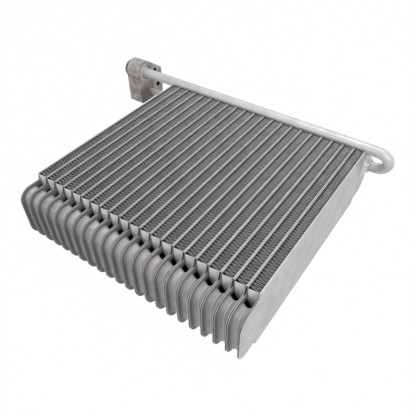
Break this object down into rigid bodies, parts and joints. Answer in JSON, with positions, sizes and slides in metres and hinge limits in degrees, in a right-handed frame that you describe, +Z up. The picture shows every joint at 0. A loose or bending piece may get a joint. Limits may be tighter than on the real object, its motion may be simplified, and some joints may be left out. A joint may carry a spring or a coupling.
{
  "type": "evaporator core",
  "caption": "Laminated evaporator core with folded fins between drawn plates, cup tanks, end plates, a pipe with a return bend and a two-port connector block.",
  "frame": {"origin": "middle of the underside of the part's bounding box, on the surface that the core lies on", "axes": "+X along the stack of tubes, from the connector block to the return bend; +Y along the tubes, towards the tank that carries the pipes; +Z up, through the depth of the core"},
  "size_m": [0.3788, 0.2928, 0.0905],
  "materials": {
    "fin": "satin, slightly oxidised",
    "plate": "brazed, satin",
    "end_plate": "satin",
    "pipe": "smooth, bright satin",
    "block": "blasted casting",
    "seal": "smooth, matt"
  },
  "bodies": {
    "root": {"fin_01": "fin", "fin_02": "fin", "fin_03": "fin", "fin_04": "fin", "fin_05": "fin", "fin_06": "fin", "fin_07": "fin", "fin_08": "fin", "fin_09": "fin", "fin_10": "fin", "fin_11": "fin", "fin_12": "fin", "fin_13": "fin", "fin_14": "fin", "fin_15": "fin", "fin_16": "fin", "fin_17": "fin", "fin_18": "fin", "fin_19": "fin", "fin_20": "fin", "fin_21": "fin", "tube_01": "plate", "tube_02": "plate", "tube_03": "plate", "tube_04": "plate", "tube_05": "plate", "tube_06": "plate", "tube_07": "plate", "tube_08": "plate", "tube_09": "plate", "tube_10": "plate", "tube_11": "plate", "tube_12": "plate", "tube_13": "plate", "tube_14": "plate", "tube_15": "plate", "tube_16": "plate", "tube_17": "plate", "tube_18": "plate", "tube_19": "plate", "tube_20": "plate", "left_cup_plate": "plate", "right_cup_plate": "plate", "left_end_plate": "end_plate", "right_end_plate": "end_plate", "outlet_pipe": "pipe", "inlet_pipe": "pipe", "outlet_collar": "pipe", "inlet_collar": "pipe", "connector_block": "block", "outlet_o_ring": "seal", "inlet_o_ring": "seal"}
  },
  "joints": []
}
